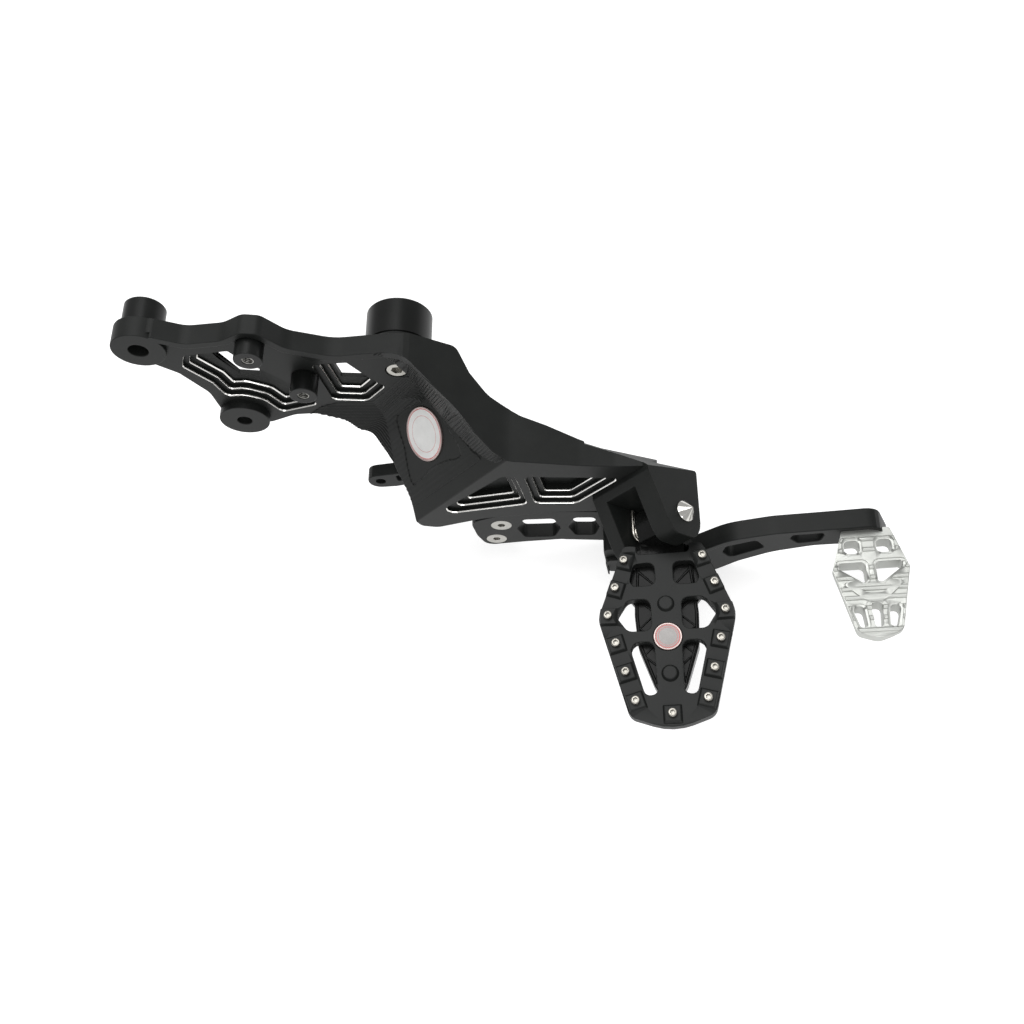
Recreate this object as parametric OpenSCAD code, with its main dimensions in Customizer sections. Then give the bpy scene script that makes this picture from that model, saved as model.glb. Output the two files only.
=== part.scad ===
// Right-hand motorcycle footpeg with its mounting bracket and rear brake lever.
// X points forward, minus Y points outboard, Z points up.
// The origin is the centre of the rear bolt hole on the bracket's outer face.

/* [Show] */
// which piece to build

/* [Bracket] */
// thickness of the machined plate
plate_t = 12; // [10:0.5:16]
// depth of the recessed outer face below the rim
rim_d = 3; // [2:0.25:4]
// width of the raised rim
rim_w = 4.5; // [3:0.5:8]
// how far the front web stands outboard of the rear face
joggle = 52; // [40:1:60]
// thickness of the slanted wall
wall_t = 5.5; // [4.5:0.25:9]
// radius of the two bolt bosses
boss_r = 14.2; // [13:0.1:16]
// radius of the rear bolt hole
rear_hole_r = 5.25; // [4:0.05:6]
// radius of the lower bolt hole
low_hole_r = 4.25; // [3:0.05:6]
// depth of one step in the window pockets
step_d = 2.4; // [2:0.1:3.5]
// floor left in the pockets of the front web
web_floor = 2.5; // [1.5:0.25:4]
// width of one ledge in the window pockets
step_w = 3.3; // [2:0.1:4]

/* [Frame spacers] */
// radius of the rear spacer
rear_sp_r = 11; // [8:0.5:13]
// length of the rear spacer
rear_sp_l = 15; // [5:0.5:40]
// radius of the main spacer
main_sp_r = 18.2; // [14:0.1:20]
// length of the main spacer
main_sp_l = 26.6; // [22:0.1:50]
// radius of the main screw shank
main_screw_r = 4; // [3:0.1:5]
// radius of the posts that carry the brake cylinder
post_r = 7.5; // [6:0.1:9]
// length of the posts above the recessed face
post_l = 12; // [10:0.5:20]
// depth of the spot faces that the posts stand in
seat_d = 0.3; // [0.1:0.1:1]
// radius of the threaded holes in the posts
post_hole_r = 3; // [2:0.1:4]

/* [Hinge] */
// slant of the hinge axis in the side view, in degrees
cant = 45; // [44:0.5:46]
// radius of the hinge pin
pin_r = 4; // [3:0.1:5]
// running gap around the hinge pin and the pivot bolt
run_gap = 0.05; // [0.02:0.01:0.1]
// wall of the plain bushes
bush_wall = 1.5; // [1:0.1:2]
// radius of the knuckle on the peg arm
knuckle_r = 11; // [10:0.1:12]
// thickness of the knuckle
knuckle_t = 13.5; // [10:0.5:14]

/* [Peg] */
// half width of the deck at its widest
deck_half = 35; // [32:0.5:38]
// thickness of the deck
deck_t = 6; // [5:0.25:8]
// height of the square pads under the grip pins
pad_h = 2; // [1:0.25:3]
// size of the square pads
pad_w = 8; // [7:0.25:9]
// radius of the grip pin heads
grip_r = 2.2; // [1.8:0.1:2.6]
// height of the grip pin heads
grip_h = 2.6; // [1.5:0.1:4]
// radius of the deck badge
badge_r = 7.3; // [6:0.1:8]

/* [Brake lever] */
// thickness of the lever plate
lever_t = 9; // [7:0.5:10]
// radius of the pivot bolt
pivot_r = 6; // [5:0.1:7]
// radius of the pushrod eye
eye_r = 3; // [2.5:0.1:3.5]
// radius of the countersunk screw heads
csk_r = 6.2; // [5.5:0.1:7]
// thickness of the toe peg
toe_t = 13; // [11:0.5:15]

/* [Hidden] */
$fn = 40;
face_y = rim_d;
back_y = plate_t;
web_y = -joggle;
web_in = web_y + plate_t;
wall_slope = 1.867;
wall_s0 = 141.2;
wall_s1 = wall_s0 + (face_y - web_y) / wall_slope;
in_s0 = wall_s0 + wall_t * 0.882 + (wall_t * 0.472 + face_y - back_y) / wall_slope;
in_s1 = in_s0 + (back_y - web_in) / wall_slope;
low_x = 28.1;
low_z = -74.5;
main_x = 126.4;
main_z = -46.3;
post_a = [58.6, -6.3];
post_b = [75.1, -43.8];
hinge_s = 257.7;
hinge_y = web_y - 21.1;
slot_m0 = 93.6;
slot_m1 = 117;
ear_m0 = 84;
ear_m1 = 130.5;
ear_r = 14;
slot_y = hinge_y + ear_r;
tongue_m = slot_m1 - 0.4 - knuckle_t / 2;
bush_r = pin_r + run_gap + bush_wall;
deck_x = 261;
deck_top = -106;
deck_bot = deck_top - deck_t;
hinge_edge = hinge_y - 11;
pivot_x = 138;
pivot_z = -118;
lev_in = web_y + 2 + lever_t;
crank_out = web_in + 0.8;
crank_t = 9;
crank_in = crank_out + crank_t;
eye_x = 94.9;
eye_z = -127.9;
eye_y0 = web_in + 19.5;
eye_y1 = eye_y0 + 8;
crank_boss = pivot_r + run_gap + bush_wall + 3.7;
coil_r = crank_boss + 0.3 + 0.85;
pbush_r = pivot_r + run_gap + bush_wall;
lev_y = web_y + 2;
arm_y = web_y - 21;
toe_x = 371.4;
toe_top = -133;
toe_in = arm_y + 2.5;
ridge_h = 1.25;
grip_rows = [
    [20.7, -93, 17],
    [26, -108.4, 19],
    [30.3, -123.7, 2],
    [26.8, -139, -14],
    [22.5, -154.5, -15],
    [18.1, -169.8, -16]
];

// Rounded outlines: each corner is x, y and its radius
function flat(c) = [c[0], c[1]];
function unit(v) = v / norm(v);
function side_n(a, b) = [-unit(b - a)[1], unit(b - a)[0]];
function meet(p, u, q, v) = p + u * ((q[0] - p[0]) * v[1] - (q[1] - p[1]) * v[0]) / (u[0] * v[1] - u[1] * v[0]);
function wrap(c, i) = c[(i + len(c)) % len(c)];
function corner(a, b, c, r, k) =
    let (u = unit(a - b))
    let (v = unit(c - b))
    let (half = acos(max(-1, min(1, u * v))) / 2)
    let (t = min(r / tan(half), norm(a - b) * 0.48, norm(c - b) * 0.48))
    let (rr = t * tan(half))
    let (o = b + unit(u + v) * rr / sin(half))
    let (p = b + u * t - o)
    let (q = b + v * t - o)
    let (turn = atan2(p[0] * q[1] - p[1] * q[0], p * q))
    half > 88 ? [b] :
    [for (j = [0:k]) let (w = turn * j / k) o + [p[0] * cos(w) - p[1] * sin(w), p[0] * sin(w) + p[1] * cos(w)]];
function rounded(c, k = 4) = [
    for (i = [0:len(c) - 1])
    each corner(flat(wrap(c, i - 1)), flat(c[i]), flat(wrap(c, i + 1)), max(c[i][2], 0.2), k)
];
function inset(c, d) = [
    for (i = [0:len(c) - 1])
    let (a = flat(wrap(c, i - 1)))
    let (b = flat(c[i]))
    let (e = flat(wrap(c, i + 1)))
    let (m = meet(a + side_n(a, b) * d, b - a, b + side_n(b, e) * d, e - b))
    [m[0], m[1], max(c[i][2] - d * 0.5, 1)]
];
function mirrored(c, x) = [for (i = [len(c) - 1:-1:0]) [2 * x - c[i][0], c[i][1], c[i][2]]];

// Extrude a side-view outline along Y, from y1 down to y0
module side(y0, y1) {
    translate([0, y1, 0])
        rotate([90, 0, 0])
            linear_extrude(height = y1 - y0)
                children();
}

// Extrude a section drawn across the hinge axis, from m0 to m1 along it
module along_hinge(m0, m1) {
    rotate([0, cant, 0])
        translate([0, 0, m0])
            linear_extrude(height = m1 - m0)
                children();
}

// A cylinder along Y from y0 to y1
module bar_y(x, z, r, y0, y1) {
    translate([x, y0, z])
        rotate([-90, 0, 0])
            cylinder(r = r, h = y1 - y0);
}

// A cone along Y from y0 to y1
module cone_y(x, z, r0, r1, y0, y1) {
    translate([x, y0, z])
        rotate([-90, 0, 0])
            cylinder(r1 = r0, r2 = r1, h = y1 - y0);
}

// A cylinder on the hinge axis from m0 to m1
module bar_hinge(r, m0, m1) {
    rotate([0, cant, 0])
        translate([hinge_s, hinge_y, m0])
            cylinder(r = r, h = m1 - m0);
}

// A cylinder along Z from z0 to z1
module bar_z(x, y, r, z0, z1) {
    translate([x, y, z0])
        cylinder(r = r, h = z1 - z0);
}

// Hexagon socket along Y
module hex_y(x, z, af, y0, y1) {
    translate([x, y0, z])
        rotate([-90, 0, 0])
            cylinder(r = af / sqrt(3), h = y1 - y0, $fn = 6);
}

// Side outline of the bracket, counter-clockwise
top_edge = [
    [262, -92, 3], [256, -75, 4], [240, -73.2, 30], [222, -69.2, 40], [184.4, -57.3, 25],
    [160, -42, 25], [136, -23.6, 20], [98, -22.6, 25], [76, -11, 14], [67, 3.6, 6],
    [58, 6.2, 7], [46, 1, 12], [26, 1.5, 14], [10, 11.5, 5], [-6, 6, 2]
];
bottom_edge = [
    [-6, -10, 2], [1, -19, 4], [9.5, -29, 14], [16.6, -50, 16], [15.5, -72, 4],
    [28, -86, 2], [40, -86.5, 5], [56, -81, 14], [69, -82, 12], [83, -92, 14],
    [88, -104.8, 4], [106.3, -107.4, 8], [118, -114.6, 6], [121.4, -127.8, 5], [130, -132.3, 8],
    [160, -124.6, 30], [201, -123.2, 30], [236, -127.5, 3]
];
bracket_side = concat(top_edge, bottom_edge);

// Outline of the top flange seen from above
flange_plan = [
    [112, 0, 1], [124, 0, 8], [137, -3, 14], [150, -16.5, 12], [160, -25.5, 14], [171, -40.5, 14],
    [178, -48, 10], [186, web_y, 8], [252, web_y, 1], [256, web_y + 4, 1], [223, -36.4, 30],
    [205, -28.6, 2], [192, -24, 10], [176, -14.5, 14], [162.5, 2.5, 14], [156, plate_t, 8], [112, plate_t, 1]
];

// Stepped windows of the rear plate and of the front web
window_a = [
    [44, -13, 3], [19, -13, 2.5], [14, -22.5, 3], [23.3, -40.5, 5], [25.5, -54.5, 3.5], [36, -55.5, 10],
    [44.6, -62, 10], [50, -76.5, 3.5], [72.1, -72.2, 2.2], [66, -51, 10], [50, -27, 8]
];
window_b = [[103, -34.5, 4], [82.4, -33, 3], [83, -68.5, 3.5], [101.5, -73, 4], [115, -60.8, 2]];
window_c = [[185.6, -68.5, 5], [132, -115.2, 4.5], [187, -109.8, 3]];
window_d = [[240.8, -87.6, 2], [191.2, -77.2, 3], [192.1, -109.6, 3.5], [214.5, -113.4, 5]];

// Cut three stepped ledges from the outer face y0 down to y1
module stepped(c, y0, y1) {
    side(y0 - 1, y0 + step_d)
        polygon(rounded(c));
    side(y0, y0 + 2 * step_d)
        polygon(rounded(inset(c, step_w)));
    side(y0, y1)
        polygon(rounded(inset(c, 2 * step_w)));
}

// The band of the bracket outline from corner i0 to i1, t0 to t1 below its top edge
function band(i0, i1, t0, t1) =
    let (a = inset(bracket_side, t0))
    let (b = inset(bracket_side, t1))
    concat([for (i = [i0:i1]) a[i]], [for (i = [i1:-1:i0]) b[i]]);

// Section of the rear plate, the slanted wall and the front web
module wall_section() {
    polygon(rounded([
        [-90, back_y, 0], [-90, face_y, 0], [wall_s0, face_y, 9], [wall_s1, web_y, 1.5],
        [262, web_y, 0], [262, web_in, 0], [in_s1, web_in, 6], [in_s0, back_y, 5]
    ], 5));
}

module ear_section() {
    polygon(rounded([
        [268.5, web_y + 6, 2], [233.4, web_y + 6, 1], [233.4, web_y - 3, 1.2],
        [hinge_s - 12.2, hinge_y - 7.4, 8], [hinge_s - 8, hinge_y - ear_r, 8],
        [hinge_s + 7, hinge_y - ear_r, 8], [268.5, hinge_y - 7, 8]
    ], 5));
}

// Bracket: machined plate with rim, slanted wall, front web, top flange and clevis
module bracket() {
    color("dimgray")
    difference() {
        union() {
            intersection() {
                along_hinge(-160, 200)
                    wall_section();
                side(web_y, back_y)
                    polygon(rounded(bracket_side));
            }
            side(0, face_y + 0.5)
                polygon(rounded(band(5, 13, 0, rim_w)));
            for (k = [0:3])
                intersection() {
                    side(web_y, back_y)
                        polygon(rounded(band(1, 7, k == 0 ? 0 : 2.4 + 2.5 * k, 5 + 2.5 * k)));
                    translate([0, 0, -140])
                        linear_extrude(height = 160)
                            polygon(rounded(flange_plan));
                    translate([1.5 * k, 1.9 * k, -140])
                        linear_extrude(height = 160)
                            polygon(rounded(flange_plan));
                }
            bar_y(0, 0, boss_r, 0, back_y);
            bar_y(low_x, low_z, boss_r, -2, back_y);
            along_hinge(ear_m0, ear_m1)
                ear_section();
        }
        stepped(window_a, face_y, back_y + 1);
        stepped(window_b, face_y, back_y + 1);
        stepped(window_c, web_y, web_in - web_floor);
        stepped(window_d, web_y, web_in - web_floor);
        bar_y(0, 0, rear_hole_r, -1, back_y + 1);
        bar_y(low_x, low_z, low_hole_r, -3, back_y + 1);
        bar_y(low_x, low_z, low_hole_r + 3, back_y - 3, back_y + 1);
        bar_y(main_x, main_z, main_screw_r + 0.3, -1, back_y + 1);
        bar_y(main_x, main_z, main_screw_r + 2.2, -20, face_y + 3.9);
        bar_y(post_a[0], post_a[1], post_hole_r + 2, face_y - 1, back_y + 1);
        bar_y(post_a[0], post_a[1], post_r + 0.4, -1, face_y + seat_d);
        bar_y(post_b[0], post_b[1], post_r + 0.4, -1, face_y + seat_d);
        bar_y(post_b[0], post_b[1], post_hole_r + 2, face_y - 1, back_y + 1);
        along_hinge(slot_m0, slot_m1)
            translate([222, slot_y - 60])
                square([70, 60]);
        clevis_chamfer();
        bar_hinge(pin_r + 0.02, ear_m0 - 1, ear_m1 + 1);
        badge_place()
            translate([0, 0, -1])
                cylinder(r = 15.7, h = 3);
        bar_y(pivot_x, pivot_z, pivot_r - 2, web_in - 9, web_in + 1);
        bar_y(pivot_x, pivot_z, coil_r + 1.8, web_in, back_y + 1);
    }
}

// Chamfer across the top and back of the web above the clevis
module clevis_chamfer() {
    intersection() {
        translate([224.9, web_y + 13.1, -69.9])
            rotate([0, 55.67, 63.7])
                translate([-60, -60, 0])
                    cube([120, 120, 60]);
        translate([224.5, -90, -120])
            cube([80, 130, 120]);
    }
}

// Put a disc flat on the slanted wall
module badge_place() {
    rotate([0, cant, 0])
        translate([152.1, face_y - (152.1 - wall_s0) * wall_slope, 37.1])
            rotate([0, 0, -atan(wall_slope)])
                rotate([90, 0, 0])
                    children();
}

// Spacer behind the rear bolt hole
module rear_spacer() {
    color("dimgray")
    difference() {
        bar_y(0, 0, rear_sp_r, back_y, back_y + rear_sp_l);
        bar_y(0, 0, rear_hole_r, back_y - 1, back_y + rear_sp_l + 1);
    }
}

// Turned main spacer with a flared foot
module main_spacer() {
    color("dimgray")
    difference() {
        union() {
            bar_y(main_x, main_z, main_sp_r, back_y + 2.5, back_y + main_sp_l);
            cone_y(main_x, main_z, main_sp_r + 1.2, main_sp_r, back_y, back_y + 2.5);
        }
        bar_y(main_x, main_z, main_screw_r, back_y - 1, back_y + main_sp_l - 15);
        bar_y(main_x, main_z, main_screw_r + 1, back_y + main_sp_l - 16, back_y + main_sp_l + 1);
    }
}

// Socket head screw that holds the main spacer
module main_screw() {
    color("silver")
    difference() {
        union() {
            bar_y(main_x, main_z, main_screw_r + 1.7, face_y + 0.3, face_y + 3.9);
            bar_y(main_x, main_z, main_screw_r, face_y + 3.9, back_y + main_sp_l - 16.6);
        }
        hex_y(main_x, main_z, main_screw_r * 1.4, face_y - 3, face_y + 2.9);
    }
}

// Round post with a spigot in the plate and a threaded hole
module post(c) {
    color("dimgray")
    difference() {
        union() {
            bar_y(c[0], c[1], post_r, face_y - post_l, face_y + seat_d);
            bar_y(c[0], c[1], post_hole_r + 2, face_y, back_y);
        }
        bar_y(c[0], c[1], post_hole_r, face_y - post_l - 1, face_y + 5);
    }
}

module rear_post() {
    post(post_a);
}

module front_post() {
    post(post_b);
}

// Blank round badge let into the slanted wall
module wall_badge() {
    color("silver")
    badge_place()
        translate([0, 0, -1])
            cylinder(r = 15.5, h = 1.6);
}

// Hinge pin with a pointed head, held by a nut
module hinge_pin() {
    color("silver")
    rotate([0, cant, 0])
        translate([hinge_s, hinge_y, 0])
            union() {
                translate([0, 0, ear_m0 - 5.5])
                    cylinder(r = pin_r, h = ear_m1 - ear_m0 + 5.5);
                translate([0, 0, ear_m1])
                    cylinder(r = pin_r + 1.9, h = 0.8);
                translate([0, 0, ear_m1 + 0.8])
                    cylinder(r1 = pin_r + 1.9, r2 = 0.3, h = 5);
            }
}

module pin_nut() {
    color("silver")
    rotate([0, cant, 0])
        translate([hinge_s, hinge_y, ear_m0 - 4.5])
            difference() {
                cylinder(r = pin_r * 1.85, h = 4.5, $fn = 6);
                translate([0, 0, -1])
                    cylinder(r = pin_r, h = 7);
            }
}

// Torsion spring coil beside the knuckle
module fold_spring() {
    color("silver")
    rotate([0, cant, 0])
        translate([hinge_s, hinge_y, 0])
            union() {
                for (k = [0:2])
                    translate([0, 0, slot_m0 + 1.6 + 2 * k])
                        rotate_extrude()
                            translate([pin_r + 1.25, 0])
                                circle(r = 0.95, $fn = 16);
                translate([-pin_r - 1.25, 0, slot_m0 + 1.6])
                    rotate([-90, 0, 0])
                        cylinder(r = 0.9, h = ear_r - 0.4);
                translate([-pin_r - 1.25, 0, slot_m0 + 5.6])
                    rotate([90, 0, 0])
                        cylinder(r = 0.9, h = 8);
            }
}

// Arm of the peg: knuckle, neck and the long spine below the deck
module peg_arm() {
    color("#1c1c1c")
    difference() {
        union() {
            bar_hinge(knuckle_r, tongue_m - knuckle_t / 2, tongue_m + knuckle_t / 2);
            along_hinge(tongue_m - knuckle_t / 2, tongue_m + knuckle_t / 2)
                polygon(rounded([
                    [hinge_s + knuckle_r - 0.3, slot_y - 0.4, 1.5], [hinge_s + 2, slot_y - 0.4, 2],
                    [hinge_s - knuckle_r + 0.2, hinge_y, 2], [hinge_s - 7, hinge_y - 22, 2],
                    [hinge_s + 24, hinge_y - 22, 2], [hinge_s + 18, hinge_y - 8, 4]
                ]));
            translate([deck_x - 11.6, hinge_edge - 4.7, deck_bot - 1])
                cube([23.2, 5, deck_t - 1]);
            intersection() {
                translate([0, 0, -140])
                    linear_extrude(height = deck_bot + 140)
                        polygon(rounded([
                            [deck_x + 15, hinge_edge, 4], [deck_x - 15, hinge_edge, 4], [deck_x - 16.8, -122, 10],
                            [deck_x - 15.8, -139, 8], [deck_x - 8.6, -160, 5], [deck_x - 5, -167, 4], [deck_x + 5, -167, 4],
                            [deck_x + 8.6, -160, 5], [deck_x + 15.8, -139, 8], [deck_x + 16.8, -122, 10]
                        ]));
                rotate([90, 0, 90])
                    linear_extrude(height = 400)
                        polygon(rounded([
                            [hinge_edge, deck_bot, 0.2], [-170, deck_bot, 0.2], [-170, deck_bot - 7, 3],
                            [-130, deck_bot - 11, 20], [-100, deck_bot - 15, 8], [hinge_edge, deck_bot - 12, 4]
                        ]));
            }
        }
        difference() {
            translate([deck_x - 45, hinge_edge - 60, deck_bot])
                cube([90, 60.35, 40]);
            translate([deck_x - 11.6, hinge_edge - 4.7, deck_bot - 1])
                cube([23.2, 6, deck_t - 0.6]);
        }
        bar_hinge(bush_r, 80, 140);
        for (x = [-1, 1])
            translate([0, 0, -140])
                linear_extrude(height = deck_bot + 140 - 4)
                    polygon(rounded([
                        [deck_x + x * 12.4 - 4, -104, 2], [deck_x + x * 12.4 - 4, -124, 2],
                        [deck_x + x * 12.4 + 4, -124, 2], [deck_x + x * 12.4 + 4, -104, 2]
                    ]));
        deck_bolt_space(-118);
        deck_bolt_space(-155.7);
        ear_relief();
    }
}

// Room for a deck screw and its head in the arm
module deck_bolt_space(y) {
    bar_z(deck_x, y, 3.1, -150, deck_bot + 1);
    bar_z(deck_x, y, 5.3, -150, deck_bot - 5);
}

// Space swept by the two ears when the peg folds
module ear_relief() {
    bar_hinge(19.5, ear_m0 - 8, slot_m0 + 0.4);
    bar_hinge(ear_r + 1.4, slot_m1 - 0.4, ear_m1 + 8);
    along_hinge(ear_m0 - 8, slot_m0 + 0.4)
        translate([hinge_s - 30, hinge_y])
            square([60, 30]);
    along_hinge(slot_m1 - 0.4, ear_m1 + 8)
        translate([hinge_s - 30, hinge_y])
            square([60, 30]);
}

// Plain bush pressed into the knuckle
module hinge_bush() {
    color("goldenrod")
    difference() {
        bar_hinge(bush_r, tongue_m - knuckle_t / 2, tongue_m + knuckle_t / 2);
        bar_hinge(pin_r + run_gap, 80, 140);
    }
}

// Outline and openings of the deck
deck_half_outline = [
    [deck_x - deck_half - 0.9, -124.5, 12], [deck_x - 21.6, -177.5, 7], [deck_x, -185, 30]
];
deck_outline = [
    [deck_x - 14, hinge_edge, 1.2], [deck_x - 20.8, hinge_edge, 3], each deck_half_outline,
    [deck_x + 21.6, -177.5, 7], [deck_x + deck_half + 0.9, -124.5, 12], [deck_x + 20.8, hinge_edge, 3],
    [deck_x + 14, hinge_edge, 1.2], [deck_x + 14, hinge_edge - 5, 2.2], [deck_x - 14, hinge_edge - 5, 2.2]
];
opening_1 = [[deck_x - 4.9, -94.3, 3.4], [deck_x - 16, -94.3, 3.4], [deck_x - 19.4, -107.2, 3.4], [deck_x - 4.9, -107.2, 3.4]];
opening_2 = [
    [deck_x - 8, -114.8, 4], [deck_x - 20, -114.8, 5], [deck_x - 26, -124, 3], [deck_x - 20.5, -132.2, 5], [deck_x - 8, -132.2, 4]
];
opening_3 = [[deck_x - 7.2, -138.3, 4], [deck_x - 20.5, -138.3, 4.5], [deck_x - 13, -167, 3.2], [deck_x - 6.6, -166, 3.2]];

// Deck of the peg with six openings, drafted pads and two raised bosses
module peg_deck() {
    color("#303030")
    difference() {
        union() {
            intersection() {
                union() {
                    translate([0, 0, deck_bot])
                        linear_extrude(height = deck_t)
                            polygon(rounded(deck_outline));
                    for (k = [-1, 1])
                        for (g = grip_rows)
                            translate([deck_x + k * g[0], g[1], deck_top])
                                rotate([0, 0, k * g[2]])
                                    pad();
                    translate([deck_x, -176.9, deck_top])
                        pad();
                }
                translate([0, 0, deck_bot])
                    linear_extrude(height = deck_t + pad_h)
                        polygon(rounded(deck_outline));
            }
            for (y = [-118, -155.7])
                translate([deck_x, y, deck_top])
                    cylinder(r1 = 4.5, r2 = 3.5, h = pad_h);
        }
        for (c = [opening_1, opening_2, opening_3]) {
            translate([0, 0, deck_bot - 1])
                linear_extrude(height = deck_t + 2)
                    polygon(rounded(c));
            translate([0, 0, deck_bot - 1])
                linear_extrude(height = deck_t + 2)
                    polygon(rounded(mirrored(c, deck_x)));
        }
        for (k = [-1, 1])
            for (g = grip_rows)
                bar_z(deck_x + k * g[0], g[1], 1.25, deck_top - 4, deck_top + 5);
        bar_z(deck_x, -176.9, 1.25, deck_top - 4, deck_top + 5);
        bar_z(deck_x, -118, 2.5, deck_bot - 1, deck_bot + 5);
        bar_z(deck_x, -155.7, 2.5, deck_bot - 1, deck_bot + 5);
        bar_z(deck_x, -136, badge_r + 0.2, deck_top - 1.2, deck_top + 5);
        ear_relief();
    }
}

// One drafted square pad
module pad() {
    translate([0, 0, -0.2])
        linear_extrude(height = pad_h + 0.2, scale = pad_w / (pad_w + 1.9))
            square(pad_w + 1.9, center = true);
}

// Socket head screw that holds the deck to the arm
module deck_screw(y) {
    color("silver")
    difference() {
        union() {
            bar_z(deck_x, y, 4.8, deck_bot - 9.5, deck_bot - 5);
            bar_z(deck_x, y, 2.5, deck_bot - 5, deck_bot + 4.6);
        }
        translate([deck_x, y, deck_bot - 10])
            cylinder(r = 2.6, h = 3, $fn = 6);
    }
}

module deck_screw_inner() {
    deck_screw(-118);
}

module deck_screw_outer() {
    deck_screw(-155.7);
}

// Blank round badge in the deck
module deck_badge() {
    color("silver")
    union() {
        bar_z(deck_x, -136, badge_r, deck_top - 1.2, deck_top - 0.1);
        bar_z(deck_x, -136, badge_r - 0.9, deck_top - 0.1, deck_top + 0.3);
    }
}

// Thirteen socket head grip pins
module grip_pins() {
    color("silver")
    union() {
        for (k = [-1, 1])
            for (g = grip_rows)
                grip_pin(deck_x + k * g[0], g[1]);
        grip_pin(deck_x, -176.9);
    }
}

module grip_pin(x, y) {
    difference() {
        union() {
            bar_z(x, y, 1.25, deck_top - 3.8, deck_top + pad_h + 0.1);
            bar_z(x, y, grip_r, deck_top + pad_h, deck_top + pad_h + grip_h);
        }
        translate([x, y, deck_top + pad_h + grip_h - 1.6])
            cylinder(r = 1.2, h = 3, $fn = 6);
    }
}

// Bell crank behind the web: pushrod eye, pivot boss and lever pad
module bell_crank() {
    color("#262626")
    difference() {
        union() {
            side(crank_out, crank_in)
                polygon(rounded([
                    [160, -110, 6], [pivot_x, pivot_z + crank_boss, 1], [pivot_x - 2, pivot_z - crank_boss, 4],
                    [147, -146, 10], [149.5, -166, 6], [168, -168, 6], [176, -150, 8], [174, -132, 8]
                ]));
            side(lev_in, crank_out + 0.5)
                polygon(rounded([
                    [151, -134, 5], [149.5, -166, 5], [168, -167, 5], [176, -150, 5], [175.5, -134, 5]
                ]));
            side(eye_y0, eye_y1)
                polygon(rounded([
                    [pivot_x, pivot_z + crank_boss, 2], [129, -110.5, 3], [124, -119, 5], [108, -119.8, 6],
                    [eye_x - 7.5, eye_z + 6.6, 6.5], [eye_x - 7.5, eye_z - 7.5, 7], [eye_x + 8, eye_z - 8, 8],
                    [124, -132, 10], [pivot_x, pivot_z - crank_boss, 4]
                ]));
            bar_y(pivot_x, pivot_z, crank_boss, crank_out, eye_y1);
        }
        bar_y(eye_x, eye_z, eye_r, eye_y0 - 1, eye_y1 + 1);
        side(eye_y0 - 1, eye_y1 + 1)
            polygon(rounded([[118, -122.5, 1.5], [105.5, -122.5, 1.5], [105.5, -129.5, 1.5], [118, -128, 1.5]]));
        bar_y(pivot_x, pivot_z, pbush_r, -60, 0);
        lever_screw_hole(166.8, -140.3);
        lever_screw_hole(160.5, -158.9);
    }
}

module lever_screw_hole(x, z) {
    bar_y(x, z, 2.6, -60, 0);
}

// Plain bush pressed into the pivot boss
module pivot_bush() {
    color("goldenrod")
    difference() {
        bar_y(pivot_x, pivot_z, pbush_r, crank_out, eye_y1);
        bar_y(pivot_x, pivot_z, pivot_r + run_gap, -60, 0);
    }
}

// Shoulder bolt screwed into the back of the web
module pivot_bolt() {
    color("silver")
    difference() {
        union() {
            bar_y(pivot_x, pivot_z, pivot_r - 2, web_in - 8.5, web_in);
            bar_y(pivot_x, pivot_z, pivot_r, web_in, eye_y1 + 1.8);
            bar_y(pivot_x, pivot_z, pivot_r + 4, eye_y1 + 1.8, eye_y1 + 7);
        }
        hex_y(pivot_x, pivot_z, 6, eye_y1 + 4, eye_y1 + 8);
    }
}

module pivot_washer() {
    color("silver")
    difference() {
        bar_y(pivot_x, pivot_z, pivot_r + 5, eye_y1 + 0.3, eye_y1 + 1.8);
        bar_y(pivot_x, pivot_z, pivot_r + 0.02, eye_y1 - 1, eye_y1 + 4);
    }
}

// Return spring around the pivot boss
module return_spring() {
    color("silver")
    union() {
        for (k = [0:1])
            translate([pivot_x, crank_in + 1.4 + 2 * k, pivot_z])
                rotate([-90, 0, 0])
                    rotate_extrude()
                        translate([coil_r, 0])
                            circle(r = 0.85, $fn = 16);
        translate([pivot_x, crank_in + 1.4, pivot_z + coil_r])
            rotate([0, 90, 0])
                cylinder(r = 0.85, h = 20);
    }
}

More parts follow.
